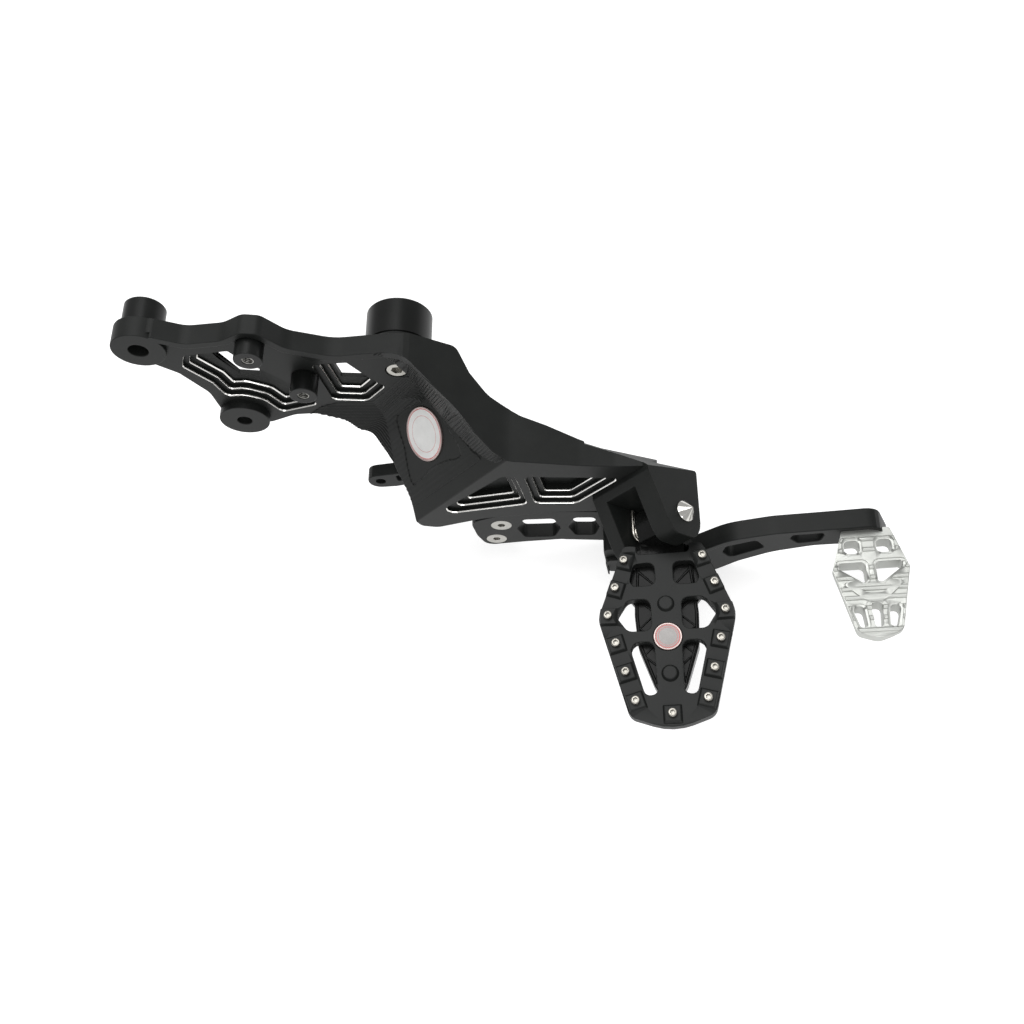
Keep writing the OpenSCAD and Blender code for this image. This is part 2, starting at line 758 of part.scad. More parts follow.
// Brake lever: inner half on the bell crank, outer half stepped outboard below the clevis
module brake_lever() {
    color("#2b2b2b")
    difference() {
        union() {
            side(lev_y, lev_in)
                polygon(rounded([
                    [238, -134, 6], [201, -126.6, 40], [166, -127.5, 30], [149.5, -133, 8],
                    [149.8, -152, 20], [153, -167, 7], [176, -166, 20], [200, -166.2, 40], [242, -176, 4]
                ]));
            side(arm_y + 2.5, arm_y + 2.5 + lever_t)
                polygon(rounded(lever_arm));
            side(arm_y, arm_y + 4)
                difference() {
                    polygon(rounded(lever_arm));
                    translate([0.8, -4])
                        polygon(rounded(lever_arm));
                    translate([382.5, -200])
                        square([20, 200]);
                }
            side(arm_y + 2.5, lev_in)
                polygon(rounded([[242, -140, 4], [226.5, -140, 3], [226.5, -172, 3], [242, -176, 4]]));
        }
        side(lev_y - 1, lev_in + 1)
            polygon(rounded([
                [198.5, -136.5, 3], [181, -134.8, 3], [175.5, -146, 3], [178, -159, 3], [196, -161, 3], [201, -149.5, 3]
            ]));
        side(lev_y - 1, lev_in + 1)
            polygon(rounded([
                [222, -139, 3], [210.5, -137.2, 3], [205.8, -149, 3], [208.5, -161, 3], [220, -163, 3], [224, -152, 3]
            ]));
        side(arm_y - 1, arm_y + lever_t + 4)
            polygon(rounded([
                [313, -141.2, 3], [296, -147.5, 3], [294, -155, 3], [298.5, -163, 3], [318, -151.5, 2.5]
            ]));
        side(arm_y - 1, arm_y + lever_t + 4)
            polygon(rounded([
                [347, -133.5, 3], [335, -134.3, 3], [331.2, -141.5, 3], [336, -149, 3], [348.5, -147.8, 3], [350.3, -140, 3]
            ]));
        lever_screw_sink(166.8, -140.3);
        lever_screw_sink(160.5, -158.9);
        bar_y(toe_x, toe_top - toe_t / 2, 3.1, arm_y, arm_y + lever_t + 4);
        bar_y(toe_x, toe_top - toe_t / 2, 5.3, arm_y + lever_t - 0.5, arm_y + lever_t + 4);
    }
}

lever_arm = [
    [378, -127, 9], [352, -127.8, 30], [322, -128.3, 40], [297, -133.5, 30], [280, -147, 20],
    [262, -153, 14], [226.5, -150, 4], [226.5, -172, 3], [252, -176.5, 20], [272, -185, 14], [289, -182, 14],
    [303, -169.8, 30], [322, -159.2, 40], [345, -154, 30], [387, -155, 3]
];

module lever_screw_sink(x, z) {
    bar_y(x, z, 3, lev_y - 1, lev_in + 1);
    cone_y(x, z, csk_r + 0.1, 2.9, lev_y - 0.01, lev_y + 3.4);
}

// Countersunk screw through the lever into the bell crank
module lever_screw(x, z) {
    color("silver")
    difference() {
        union() {
            cone_y(x, z, csk_r, 3, lev_y + 0.05, lev_y + 3.3);
            bar_y(x, z, 2.6, lev_y + 3.2, crank_in - 0.2);
        }
        hex_y(x, z, 4, lev_y - 1, lev_y + 2.2);
    }
}

module lever_screw_upper() {
    lever_screw(166.8, -140.3);
}

module lever_screw_lower() {
    lever_screw(160.5, -158.9);
}

// Toe peg: outline, openings with rims, raised half-round ridges and a V-shaped web
toe_half = [[toe_x - 12.6, toe_in, 1.5], [toe_x - 20.2, -94.4, 3], [toe_x - 11.9, -130, 5], [toe_x, -134.2, 10]];
toe_outline = [
    each toe_half, [toe_x + 11.9, -130, 5], [toe_x + 20.2, -94.4, 3], [toe_x + 12.6, toe_in, 1.5]
];
toe_1 = [[toe_x - 4.3, -77.4, 2.6], [toe_x - 12.3, -77.4, 2.6], [toe_x - 13, -85, 2.6], [toe_x - 4.3, -85, 2.6]];
toe_2 = [[toe_x - 2.6, -90.4, 2.6], [toe_x - 16.8, -90.4, 1.6], [toe_x - 17, -93.6, 1.6], [toe_x - 5, -102.2, 3], [toe_x - 2.6, -101.6, 2]];
toe_3 = [[toe_x - 6.6, -115.6, 2.4], [toe_x - 12.9, -115.6, 2.4], [toe_x - 9.6, -127.4, 1.6], [toe_x - 5.6, -127.4, 1.6]];
toe_4 = [[toe_x + 3.3, -113.8, 2.4], [toe_x - 3.3, -113.8, 2.4], [toe_x - 2.2, -127.6, 1.8], [toe_x + 2.2, -127.6, 1.8]];
toe_v = [
    [toe_x + 15.6, -103.2, 1.5], [toe_x + 13.8, -101.8, 1.5], [toe_x + 4, -108.8, 3], [toe_x - 4, -108.8, 3],
    [toe_x - 13.8, -101.8, 1.5], [toe_x - 15.6, -103.2, 1.5], [toe_x - 6.6, -111.6, 3], [toe_x - 3.6, -113.4, 3],
    [toe_x + 3.6, -113.4, 3], [toe_x + 6.6, -111.6, 3]
];

module toe_cut(c, z0, z1) {
    translate([0, 0, z0])
        linear_extrude(height = z1 - z0)
            polygon(rounded(c));
}

module toe_peg() {
    color("gainsboro")
    difference() {
        union() {
            toe_cut(toe_outline, toe_top - 0.45 * toe_t, toe_top - ridge_h);
            toe_cut(inset(toe_outline, 1.6), toe_top - toe_t, toe_top - 0.4 * toe_t);
            intersection() {
                toe_cut(inset(toe_outline, 0.4), toe_top - 4, toe_top + 1);
                for (y = [-77.1, -83.2, -93.7, -99.5, -105.9, -111, -116.7, -122.4, -129.2])
                    translate([toe_x, y, toe_top - ridge_h - 0.1])
                        rotate([0, 90, 0])
                            cylinder(r = ridge_h + 0.1, h = 60, center = true, $fn = 16);
            }
            toe_cut(toe_v, toe_top - 4, toe_top - 0.1);
        }
        for (c = [toe_1, toe_2, toe_3]) {
            toe_cut(c, toe_top - toe_t - 1, toe_top + 1);
            toe_cut(mirrored(c, toe_x), toe_top - toe_t - 1, toe_top + 1);
            toe_cut(inset(c, -1.4), toe_top - ridge_h - 0.6, toe_top + 1);
            toe_cut(inset(mirrored(c, toe_x), -1.4), toe_top - ridge_h - 0.6, toe_top + 1);
        }
        toe_cut(toe_4, toe_top - toe_t - 1, toe_top + 1);
        bar_y(toe_x, toe_top - toe_t / 2, 2.5, arm_y - 20, toe_in + 1);
    }
}

// Screw from the back of the lever into the toe peg
module toe_screw() {
    color("silver")
    difference() {
        union() {
            bar_y(toe_x, toe_top - toe_t / 2, 4.8, arm_y + lever_t - 0.5, arm_y + lever_t + 4);
            bar_y(toe_x, toe_top - toe_t / 2, 2.5, arm_y - 12, arm_y + lever_t - 0.5);
        }
        hex_y(toe_x, toe_top - toe_t / 2, 4, arm_y + lever_t + 1, arm_y + lever_t + 5);
    }
}

bracket();
rear_spacer();
main_spacer();
main_screw();
rear_post();
front_post();
wall_badge();
hinge_pin();
pin_nut();
fold_spring();
pivot_bolt();
pivot_washer();
return_spring();
peg_arm();
hinge_bush();
peg_deck();
deck_screw_inner();
deck_screw_outer();
deck_badge();
grip_pins();
bell_crank();
pivot_bush();
brake_lever();
lever_screw_upper();
lever_screw_lower();
toe_peg();
toe_screw();
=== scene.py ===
import bpy, bmesh, math
from mathutils import Matrix, Vector
from mathutils.bvhtree import BVHTree
from mathutils.geometry import delaunay_2d_cdt


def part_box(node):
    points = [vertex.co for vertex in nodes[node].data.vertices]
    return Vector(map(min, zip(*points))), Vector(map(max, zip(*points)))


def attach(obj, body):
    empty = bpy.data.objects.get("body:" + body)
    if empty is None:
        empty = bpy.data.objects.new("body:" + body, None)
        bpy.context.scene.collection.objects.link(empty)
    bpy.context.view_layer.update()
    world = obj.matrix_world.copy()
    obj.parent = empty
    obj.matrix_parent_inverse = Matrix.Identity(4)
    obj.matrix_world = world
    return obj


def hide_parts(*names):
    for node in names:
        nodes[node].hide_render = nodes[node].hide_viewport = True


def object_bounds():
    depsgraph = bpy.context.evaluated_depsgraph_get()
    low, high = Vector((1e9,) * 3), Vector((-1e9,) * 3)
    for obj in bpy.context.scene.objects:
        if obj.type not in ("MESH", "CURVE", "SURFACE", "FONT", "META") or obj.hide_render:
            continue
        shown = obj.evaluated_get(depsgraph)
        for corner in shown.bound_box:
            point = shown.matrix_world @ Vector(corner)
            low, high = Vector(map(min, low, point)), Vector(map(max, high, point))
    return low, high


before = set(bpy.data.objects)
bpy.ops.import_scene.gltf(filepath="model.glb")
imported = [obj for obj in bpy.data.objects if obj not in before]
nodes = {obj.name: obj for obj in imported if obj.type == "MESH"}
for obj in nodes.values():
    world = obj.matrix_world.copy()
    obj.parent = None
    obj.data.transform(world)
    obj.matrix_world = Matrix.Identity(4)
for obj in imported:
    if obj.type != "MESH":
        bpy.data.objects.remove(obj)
cad_box = [list(corner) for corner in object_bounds()]


def in_scene(name, data):
    made = bpy.data.objects.new(name, data)
    bpy.context.scene.collection.objects.link(made)
    return made


def mesh_of(work, name):
    mesh = bpy.data.meshes.new(name)
    work.to_mesh(mesh)
    work.free()
    return mesh


def shader_group(name, inputs, outputs):
    group = bpy.data.node_groups.new(name, "ShaderNodeTree")
    for label, kind, value in inputs:
        socket = group.interface.new_socket(label, in_out="INPUT", socket_type=kind)
        socket.default_value = value
    for label, kind in outputs:
        group.interface.new_socket(label, in_out="OUTPUT", socket_type=kind)
    return group, group.nodes.new("NodeGroupInput"), group.nodes.new("NodeGroupOutput")


def add_node(tree, kind, values=(), **settings):
    made = tree.nodes.new(kind)
    for key, value in settings.items():
        setattr(made, key, value)
    for key, value in dict(values).items():
        made.inputs[key].default_value = value
    return made


# Metal skin: a fine even grain with clouds of a second tint where the finish is thin.
# The anodised, cast, blasted and bright metals all use it, each with its own values.
def build_skin_group():
    group, given, out = shader_group(
        "metal skin",
        [("Colour", "NodeSocketColor", (0.02, 0.02, 0.02, 1)),
         ("Thin colour", "NodeSocketColor", (0.04, 0.04, 0.04, 1)),
         ("Roughness", "NodeSocketFloat", 0.4), ("Spread", "NodeSocketFloat", 0.08),
         ("Grain", "NodeSocketFloat", 2600.0), ("Depth", "NodeSocketFloat", 0.05)],
        [("Colour", "NodeSocketColor"), ("Roughness", "NodeSocketFloat"), ("Normal", "NodeSocketVector")])
    link = group.links.new
    place = add_node(group, "ShaderNodeTexCoord")
    cloud = add_node(group, "ShaderNodeTexNoise", {"Scale": 55.0, "Detail": 5.0, "Roughness": 0.62})
    fine = add_node(group, "ShaderNodeTexNoise", {"Detail": 2.0, "Roughness": 0.55})
    link(place.outputs["Object"], cloud.inputs["Vector"])
    link(place.outputs["Object"], fine.inputs["Vector"])
    link(given.outputs["Grain"], fine.inputs["Scale"])
    tint = add_node(group, "ShaderNodeMix", data_type="RGBA")
    shade = add_node(group, "ShaderNodeMapRange", {"From Min": 0.36, "From Max": 0.72})
    link(cloud.outputs["Fac"], shade.inputs["Value"])
    link(shade.outputs["Result"], tint.inputs["Factor"])
    link(given.outputs["Colour"], tint.inputs["A"])
    link(given.outputs["Thin colour"], tint.inputs["B"])
    link(tint.outputs["Result"], out.inputs["Colour"])
    centred = add_node(group, "ShaderNodeMath", {1: 0.5}, operation="SUBTRACT")
    spread = add_node(group, "ShaderNodeMath", operation="MULTIPLY_ADD")
    mixed = add_node(group, "ShaderNodeMath", operation="ADD")
    halved = add_node(group, "ShaderNodeMath", {1: 0.5}, operation="MULTIPLY")
    link(cloud.outputs["Fac"], mixed.inputs[0])
    link(fine.outputs["Fac"], mixed.inputs[1])
    link(mixed.outputs[0], halved.inputs[0])
    link(halved.outputs[0], centred.inputs[0])
    link(centred.outputs[0], spread.inputs[0])
    link(given.outputs["Spread"], spread.inputs[1])
    link(given.outputs["Roughness"], spread.inputs[2])
    link(spread.outputs[0], out.inputs["Roughness"])
    bump = add_node(group, "ShaderNodeBump", {"Distance": 0.0002})
    link(given.outputs["Depth"], bump.inputs["Strength"])
    link(fine.outputs["Fac"], bump.inputs["Height"])
    link(bump.outputs["Normal"], out.inputs["Normal"])
    return group


skin_group = build_skin_group()


# Cutter marks: the fine parallel lines that a cutter leaves on a turned or brushed face.
def build_cutter_group():
    group, given, out = shader_group(
        "cutter marks",
        [("Turn", "NodeSocketVector", (0, 0, 0)), ("Pitch", "NodeSocketFloat", 400.0),
         ("Depth", "NodeSocketFloat", 0.1), ("Normal", "NodeSocketVector", (0, 0, 0))],
        [("Normal", "NodeSocketVector")])
    link = group.links.new
    place = add_node(group, "ShaderNodeTexCoord")
    turn = add_node(group, "ShaderNodeVectorRotate", rotation_type="EULER_XYZ")
    link(place.outputs["Object"], turn.inputs["Vector"])
    link(given.outputs["Turn"], turn.inputs["Rotation"])
    lines = add_node(group, "ShaderNodeTexWave", {"Distortion": 1.2, "Detail": 2.0, "Detail Scale": 1.5},
                     bands_direction="X")
    link(turn.outputs["Vector"], lines.inputs["Vector"])
    link(given.outputs["Pitch"], lines.inputs["Scale"])
    bump = add_node(group, "ShaderNodeBump", {"Distance": 0.0001})
    link(given.outputs["Depth"], bump.inputs["Strength"])
    link(lines.outputs["Fac"], bump.inputs["Height"])
    link(given.outputs["Normal"], bump.inputs["Normal"])
    link(bump.outputs["Normal"], out.inputs["Normal"])
    return group


cutter_group = build_cutter_group()


def metal(name, colour, thin, roughness, metallic=0.0, spread=0.1, grain=2600.0, depth=0.05, specular=0.5,
          marks=None):
    material = bpy.data.materials.new(name)
    material.use_nodes = True
    tree = material.node_tree
    shader = tree.nodes["Principled BSDF"]
    shader.inputs["Metallic"].default_value = metallic
    shader.inputs["Specular IOR Level"].default_value = specular
    skin = add_node(tree, "ShaderNodeGroup", node_tree=skin_group)
    for key, value in {"Colour": (*colour, 1), "Thin colour": (*thin, 1), "Roughness": roughness,
                       "Spread": spread, "Grain": grain, "Depth": depth}.items():
        skin.inputs[key].default_value = value
    tree.links.new(skin.outputs["Colour"], shader.inputs["Base Color"])
    tree.links.new(skin.outputs["Roughness"], shader.inputs["Roughness"])
    normal = skin.outputs["Normal"]
    if marks:
        cutter = add_node(tree, "ShaderNodeGroup", node_tree=cutter_group)
        for key, value in marks.items():
            cutter.inputs[key].default_value = value
        tree.links.new(normal, cutter.inputs["Normal"])
        normal = cutter.outputs["Normal"]
    tree.links.new(normal, shader.inputs["Normal"])
    return material


anodised = metal("black anodised", (0.0068, 0.0076, 0.0071), (0.0100, 0.0110, 0.0102), 0.48, spread=0.14,
                 depth=0.06, specular=0.19)
bright_cut = metal("bright cut edge", (0.80, 0.79, 0.76), (0.90, 0.89, 0.87), 0.24, metallic=1.0, spread=0.15,
                   depth=0.03)
stainless = metal("stainless", (0.34, 0.33, 0.30), (0.46, 0.45, 0.42), 0.27, metallic=1.0, spread=0.14,
                  depth=0.03)


# Finished copy of a machined solid: edges broken by hand tools, faces kept flat.
# A turned or milled part never has a knife edge, so every edge catches a thin light.
# Where a bevel runs into its neighbours, it is tried again with those edges left as they are,
# and the last try breaks no edge at all.
bevel_tries = 12
bevel_steps = 2
ledge_chamfer = 0.00055


def machined(node, name, body, slot, materials, edge=0.0003, angle=28, bright=None, soft=13):
    tight = []
    last = bevel_tries - 1
    for attempt in range(bevel_tries):
        if attempt == last:
            edge, bright = 0.0, None
        room = 0.0006 + 0.0003 * attempt
        work, faults = edges_broken(nodes[node].data, edge, angle, bright, tight, room)
        if not faults:
            break
        tight += faults
        if attempt < last:
            work.free()
    return finished(mesh_of(work, name), name, body, slot, materials, node, soft=soft)


def edges_broken(solid, edge, angle, bright, tight, room):
    work = bmesh.new()
    work.from_mesh(solid)
    bmesh.ops.remove_doubles(work, verts=work.verts, dist=2e-6)
    bmesh.ops.dissolve_limit(work, angle_limit=math.radians(0.5), verts=work.verts, edges=work.edges)
    for face in work.faces:
        face.material_index = 0
    if bright:
        chosen = [e for e in work.edges if e.is_manifold and e.is_convex and e.calc_face_angle(0) > 0.6
                  and bright(e)
                  and has_room(e, tight, room * 0.5)]
        bmesh.ops.bevel(work, geom=chosen, offset=ledge_chamfer, offset_type="OFFSET", segments=1,
                        profile=0.5,
                        affect="EDGES", clamp_overlap=False, material=1)
    plain = [e for e in work.edges if e.is_manifold and e.is_convex
             and e.calc_face_angle(0) > math.radians(angle)
             and not any(f.material_index for v in e.verts for f in v.link_faces)
             and has_room(e, tight, room)]
    if plain and edge:
        bmesh.ops.bevel(work, geom=plain, offset=edge, offset_type="OFFSET", segments=bevel_steps,
                        profile=0.5,
                        affect="EDGES", clamp_overlap=False, material=-1)
    faults = lie_flat(work)
    faults += [v.co.copy() for e in work.edges if not e.is_manifold for v in e.verts]
    return work, faults


def has_room(edge, tight, room):
    """True where no earlier try at this edge ran into its neighbours."""
    a, b = edge.verts[0].co, edge.verts[1].co
    run = b - a
    for spot in tight:
        t = max(0.0, min(1.0, (spot - a).dot(run) / run.length_squared))
        if (a + run * t - spot).length < room:
            return False
    return True


def lie_flat(work):
    """Cuts each many-sided face into triangles, and gives the places where its outline crosses itself."""
    crossings = []
    for face in [f for f in work.faces if len(f.verts) > 4]:
        corners = list(face.verts)
        away = face.normal.copy()
        across = away.orthogonal().normalized()
        other = away.cross(across)
        middle = face.calc_center_median()
        flat = [((v.co - middle).dot(across) * 1000, (v.co - middle).dot(other) * 1000) for v in corners]
        loop = list(range(len(flat)))
        points, _, triangles, from_point, _, _ = delaunay_2d_cdt(flat, [], [loop], 1, 1e-5)
        if not triangles:
            continue
        made = []
        for point, source in zip(points, from_point):
            if source:
                made.append(corners[source[0]])
            else:
                made.append(work.verts.new(middle + (across * point.x + other * point.y) / 1000))
                crossings.append(made[-1].co.copy())
        finish = face.material_index
        work.faces.remove(face)
        for triangle in triangles:
            new = [made[k] for k in triangle]
            if len(set(new)) == 3 and not work.faces.get(new):
                tile = work.faces.new(new)
                tile.material_index = finish
                tile.normal_update()
                if tile.normal.dot(away) < 0:
                    tile.normal_flip()
    return crossings


def finished(mesh, name, body, slot, materials, *stands_for, soft=13):
    piece = in_scene(name, mesh)
    for material in materials:
        mesh.materials.append(material)
    mesh.shade_smooth()
    mesh.set_sharp_from_angle(angle=math.radians(soft))
    even = piece.modifiers.new("even", "WEIGHTED_NORMAL")
    even.keep_sharp = True
    return placed(settled(piece), body, slot, *stands_for)


def settled(piece):
    graph = bpy.context.evaluated_depsgraph_get()
    mesh = bpy.data.meshes.new_from_object(piece.evaluated_get(graph))
    piece.modifiers.clear()
    piece.data = mesh
    mesh.name = piece.name
    return piece


def placed(piece, body, slot, *stands_for):
    if stands_for:
        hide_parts(*stands_for)
    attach(piece, body)
    return piece


# Camera: it stands where the photographer's did, looking down at 63 degrees.
# It comes first because some tool marks are set by where the photograph shows them.
camera_data = bpy.data.cameras.new("camera")
camera = in_scene("camera", camera_data)
picture_px = 1024
focal_px = 1084
camera_data.sensor_width = 36
camera_data.lens = 36 * focal_px / picture_px
camera_data.clip_start = 0.01
ahead = Vector((-0.1568, 0.4289, -0.8896)).normalized()
right = Vector((0.9848, 0.0, -0.1736)).normalized()
upward = right.cross(ahead)
eye = Vector((0.2743, -0.3182, 0.4334))
camera.matrix_world = Matrix.Translation(eye) @ Matrix((right, upward, -ahead)).transposed().to_4x4()
bpy.context.scene.camera = camera
bpy.context.scene.view_settings.view_transform = "Standard"


def sight(px, py):
    """Direction in which the camera sees this point of the picture."""
    middle_px = picture_px / 2
    return (ahead + (px - middle_px) / focal_px * right - (py - middle_px) / focal_px * upward).normalized()


# Bracket: one plate milled from an aluminium billet and anodised black.
# The window ledges were chamfered after anodising, so their edges shine bare.
ledge_levels = {"rear": (0.003, 0.0054, 0.0078), "web": (-0.052, -0.0496, -0.0472)}
window_boxes = [("rear", 0.010, 0.076, -0.080, -0.010), ("rear", 0.078, 0.118, -0.076, -0.030),
                ("web", 0.128, 0.190, -0.118, -0.066), ("web", 0.188, 0.244, -0.118, -0.074)]


def on_window_ledge(edge):
    a, b = (v.co for v in edge.verts)
    if abs(a.y - b.y) > 1e-5:
        return False
    for side, x0, x1, z0, z1 in window_boxes:
        if any(abs(a.y - level) < 2e-5 for level in ledge_levels[side]):
            if all(x0 < p.x < x1 and z0 < p.z < z1 for p in (a, b)):
                return True
    return False


bracket = machined("bracket", "bracket_plate", "bracket", "black_anodised", [anodised, bright_cut],
                   edge=0.0004, bright=on_window_ledge)
bracket_skin = BVHTree.FromPolygons([v.co for v in bracket.data.vertices],
                                    [tuple(p.vertices) for p in bracket.data.polygons])

# Window floors: behind the ledges the two rear windows close in to a smaller opening,
# so the camera sees little of the paper through them.
lining_outlines = {
    "window_floor_rear": [(17, -16), (20, -34), (26, -49), (37, -55), (45.5, -63), (51, -77), (71, -72),
                          (65, -51), (56, -40),
                          (50.5, -38), (47.3, -46), (36.9, -42.8), (31, -26.6), (29, -14)],
    "window_floor_front": [(84, -36), (84, -68), (101, -71), (111, -61), (107, -58.9), (103.3, -58.6),
                           (91.6, -55.9), (91, -37)]}


def slab(name, outline, low, high, lift=lambda a, b, c: (a, c, b)):
    """Closed flat piece in mm: the outline, drawn in two axes, between two levels of the third."""
    work = bmesh.new()
    ends = [[work.verts.new(Vector(lift(a, b, level)) / 1000) for a, b in outline] for level in (low, high)]
    for j in range(len(outline)):
        k = (j + 1) % len(outline)
        work.faces.new((ends[0][j], ends[0][k], ends[1][k], ends[1][j]))
    bmesh.ops.triangulate(work, faces=[work.faces.new(ends[0]), work.faces.new(ends[1])])
    bmesh.ops.recalc_face_normals(work, faces=work.faces)
    return mesh_of(work, name)


for name, outline in lining_outlines.items():
    finished(slab(name, outline, 9.4, 12.0), name, "bracket", "black_anodised", [anodised])

# Tool marks on the slanted wall: a ball cutter left low steps that follow the pocket,
# round a smooth four-pointed panel that was finished flat for the badge.
# In mm in the side view, s runs forward and down and m runs forward and up, both at 45 degrees.
slope = 1.867
wall_s0 = 141.2
face_y = 3
web_y = -52
wall_edge_s = 138
half_root = math.sqrt(0.5)
panel = [(144.2, 55.2), (144.6, 46.5), (143.6, 36), (142.9, 26), (143.2, 18.6), (147.4, 16.4), (151.5, 15.6),
         (157, 10.4), (162.2, 8.2), (161.6, 20), (160.6, 33), (161.6, 46), (163.4, 58.6), (160.6, 60.8),
         (155.5, 57.6), (150.5, 55.4), (146.5, 57.0)]


def inside(point, loop):
    hit = False
    for (x0, y0), (x1, y1) in zip(loop, loop[1:] + loop[:1]):
        if (y0 > point[1]) != (y1 > point[1]) and point[0] < (x1 - x0) * (point[1] - y0) / (y1 - y0) + x0:
            hit = not hit
    return hit


def nearest_on(point, loop):
    best = None
    for (x0, y0), (x1, y1) in zip(loop, loop[1:] + loop[:1]):
        dx, dy = x1 - x0, y1 - y0
        t = max(0, min(1, ((point[0] - x0) * dx + (point[1] - y0) * dy) / (dx * dx + dy * dy)))
        q = (x0 + t * dx, y0 + t * dy)
        far = math.hypot(point[0] - q[0], point[1] - q[1])
        if best is None or far < best[0]:
            best = (far, q)
    return best


def wavy(loop, rounds=2):
    for _ in range(rounds):
        cut = []
        for (x0, y0), (x1, y1) in zip(loop, loop[1:] + loop[:1]):
            cut += [(x0 * 0.75 + x1 * 0.25, y0 * 0.75 + y1 * 0.25),
                    (x0 * 0.25 + x1 * 0.75, y0 * 0.25 + y1 * 0.75)]
        loop = cut
    return loop


def band_m(s):
    line = [(112, 19), (124, 19), (128.4, 33), (133.4, 43), (140.8, 51), (148.8, 58), (157, 64), (163.6, 71),
            (170, 82)]
    for (s0, m0), (s1, m1) in zip(line, line[1:]):
        if s <= s1:
            return m0 + (m1 - m0) * (s - s0) / (s1 - s0)
    return 82


def wall_level(s):
    return max(web_y, min(face_y, face_y - (s - wall_s0) * slope))


def step_level(s, m):
    """How many cutter steps this point lies from the start; its fraction gives the crest."""
    x, z = (s + m) * half_root, (m - s) * half_root
    along_wall = (s - 127.0) / 1.45
    below_window = (-z - 75.2 + 0.18 * (103.7 - x)) / 1.75
    by_flange = (m - band_m(s) + 7.0) / 1.5 + 13.0
    return max(along_wall, below_window, by_flange if s > wall_edge_s else -99.0)


def wall_steps():
    smooth_panel = wavy(panel)
    edge_of = [(103, -16), (134, -30), (167.0, -12), (167.0, 74), (163.6, 69), (157, 63), (150, 57.5),
               (145.3, 55), (138, 57), (132.4, 57), (127.4, 53), (127.4, 35.4), (126.2, 20.6), (118.5, 14.2),
               (110.6, 8.6), (105, -1)]
    pitch = 0.42
    grid = {}
    for i in range(int(65 / pitch)):
        for j in range(int(104 / pitch)):
            s, m = 103 + i * pitch, -31 + j * pitch
            if not inside((s, m), edge_of) and nearest_on((s, m), edge_of)[0] > pitch:
                continue
            x, z = (s + m) * half_root / 1000, (m - s) * half_root / 1000
            place, normal, _, _ = bracket_skin.ray_cast(Vector((x, -0.3, z)), Vector((0, 1, 0)))
            if place is None or abs(place.y * 1000 - wall_level(s)) > 2.2 or normal.y > -0.2:
                continue
            grid[i, j] = [s, m, place.y, normal]
    work = bmesh.new()
    verts = {}

    def vert(key):
        if key not in verts:
            s, m, y, normal = grid[key]
            phase = step_level(s, m)
            crest = (2 * (phase % 1.0) - 1) ** 2
            fade = min(1.0, max(0.0, (phase + 1.0) / 3.0))
            if inside((s, m), smooth_panel):
                s, m = nearest_on((s, m), smooth_panel)[1]
            elif nearest_on((s, m), smooth_panel)[0] < pitch * 0.5:
                s, m = nearest_on((s, m), smooth_panel)[1]
            co = Vector(((s + m) * half_root / 1000, y, (m - s) * half_root / 1000))
            verts[key] = work.verts.new(co + normal * (0.00008 + 0.00052 * crest * fade))
        return verts[key]

    for (i, j) in sorted(grid):
        ring = [(i, j), (i + 1, j), (i + 1, j + 1), (i, j + 1)]
        if any(k not in grid for k in ring):
            continue
        centre = (grid[i, j][0] + pitch / 2, grid[i, j][1] + pitch / 2)
        if inside(centre, smooth_panel) or not inside(centre, edge_of):
            continue
        if max(grid[k][2] for k in ring) - min(grid[k][2] for k in ring) > 0.0022:
            continue
        work.faces.new([vert(k) for k in ring])
    bmesh.ops.recalc_face_normals(work, faces=work.faces)
    if sum(f.normal.y for f in work.faces) > 0:
        bmesh.ops.reverse_faces(work, faces=work.faces)
    mesh = mesh_of(work, "wall_cutter_steps")
    piece = in_scene("wall_cutter_steps", mesh)
    mesh.materials.append(anodised)
    mesh.shade_smooth()
    thick = piece.modifiers.new("thick", "SOLIDIFY")
    thick.thickness = 0.0006
    thick.offset = -1
    return placed(settled(piece), "bracket", "black_anodised")


wall_steps()

# Scalloped band: the cutter swept round the edge of the top flange in short overlapping
# passes, so a row of crests crosses the cove between the flange and the wall.
band_upper = [(371, 353.2), (384, 352.6), (395, 353), (405, 357), (415, 366), (432, 388), (450, 409.5),
              (466, 426), (480, 441), (497, 457.5), (504, 462)]
band_lower = [(371, 355), (383, 357), (392, 362), (401, 368), (411, 379), (427, 401), (444, 421), (460, 438),
              (473, 451), (489, 461), (501, 465)]


def along(points, t):
    lengths = [math.dist(a, b) for a, b in zip(points, points[1:])]
    want = t * sum(lengths)
    for a, b, length in zip(points, points[1:], lengths):
        if want <= length or b is points[-1]:
            return tuple(p + (q - p) * min(1.0, want / length) for p, q in zip(a, b))
        want -= length


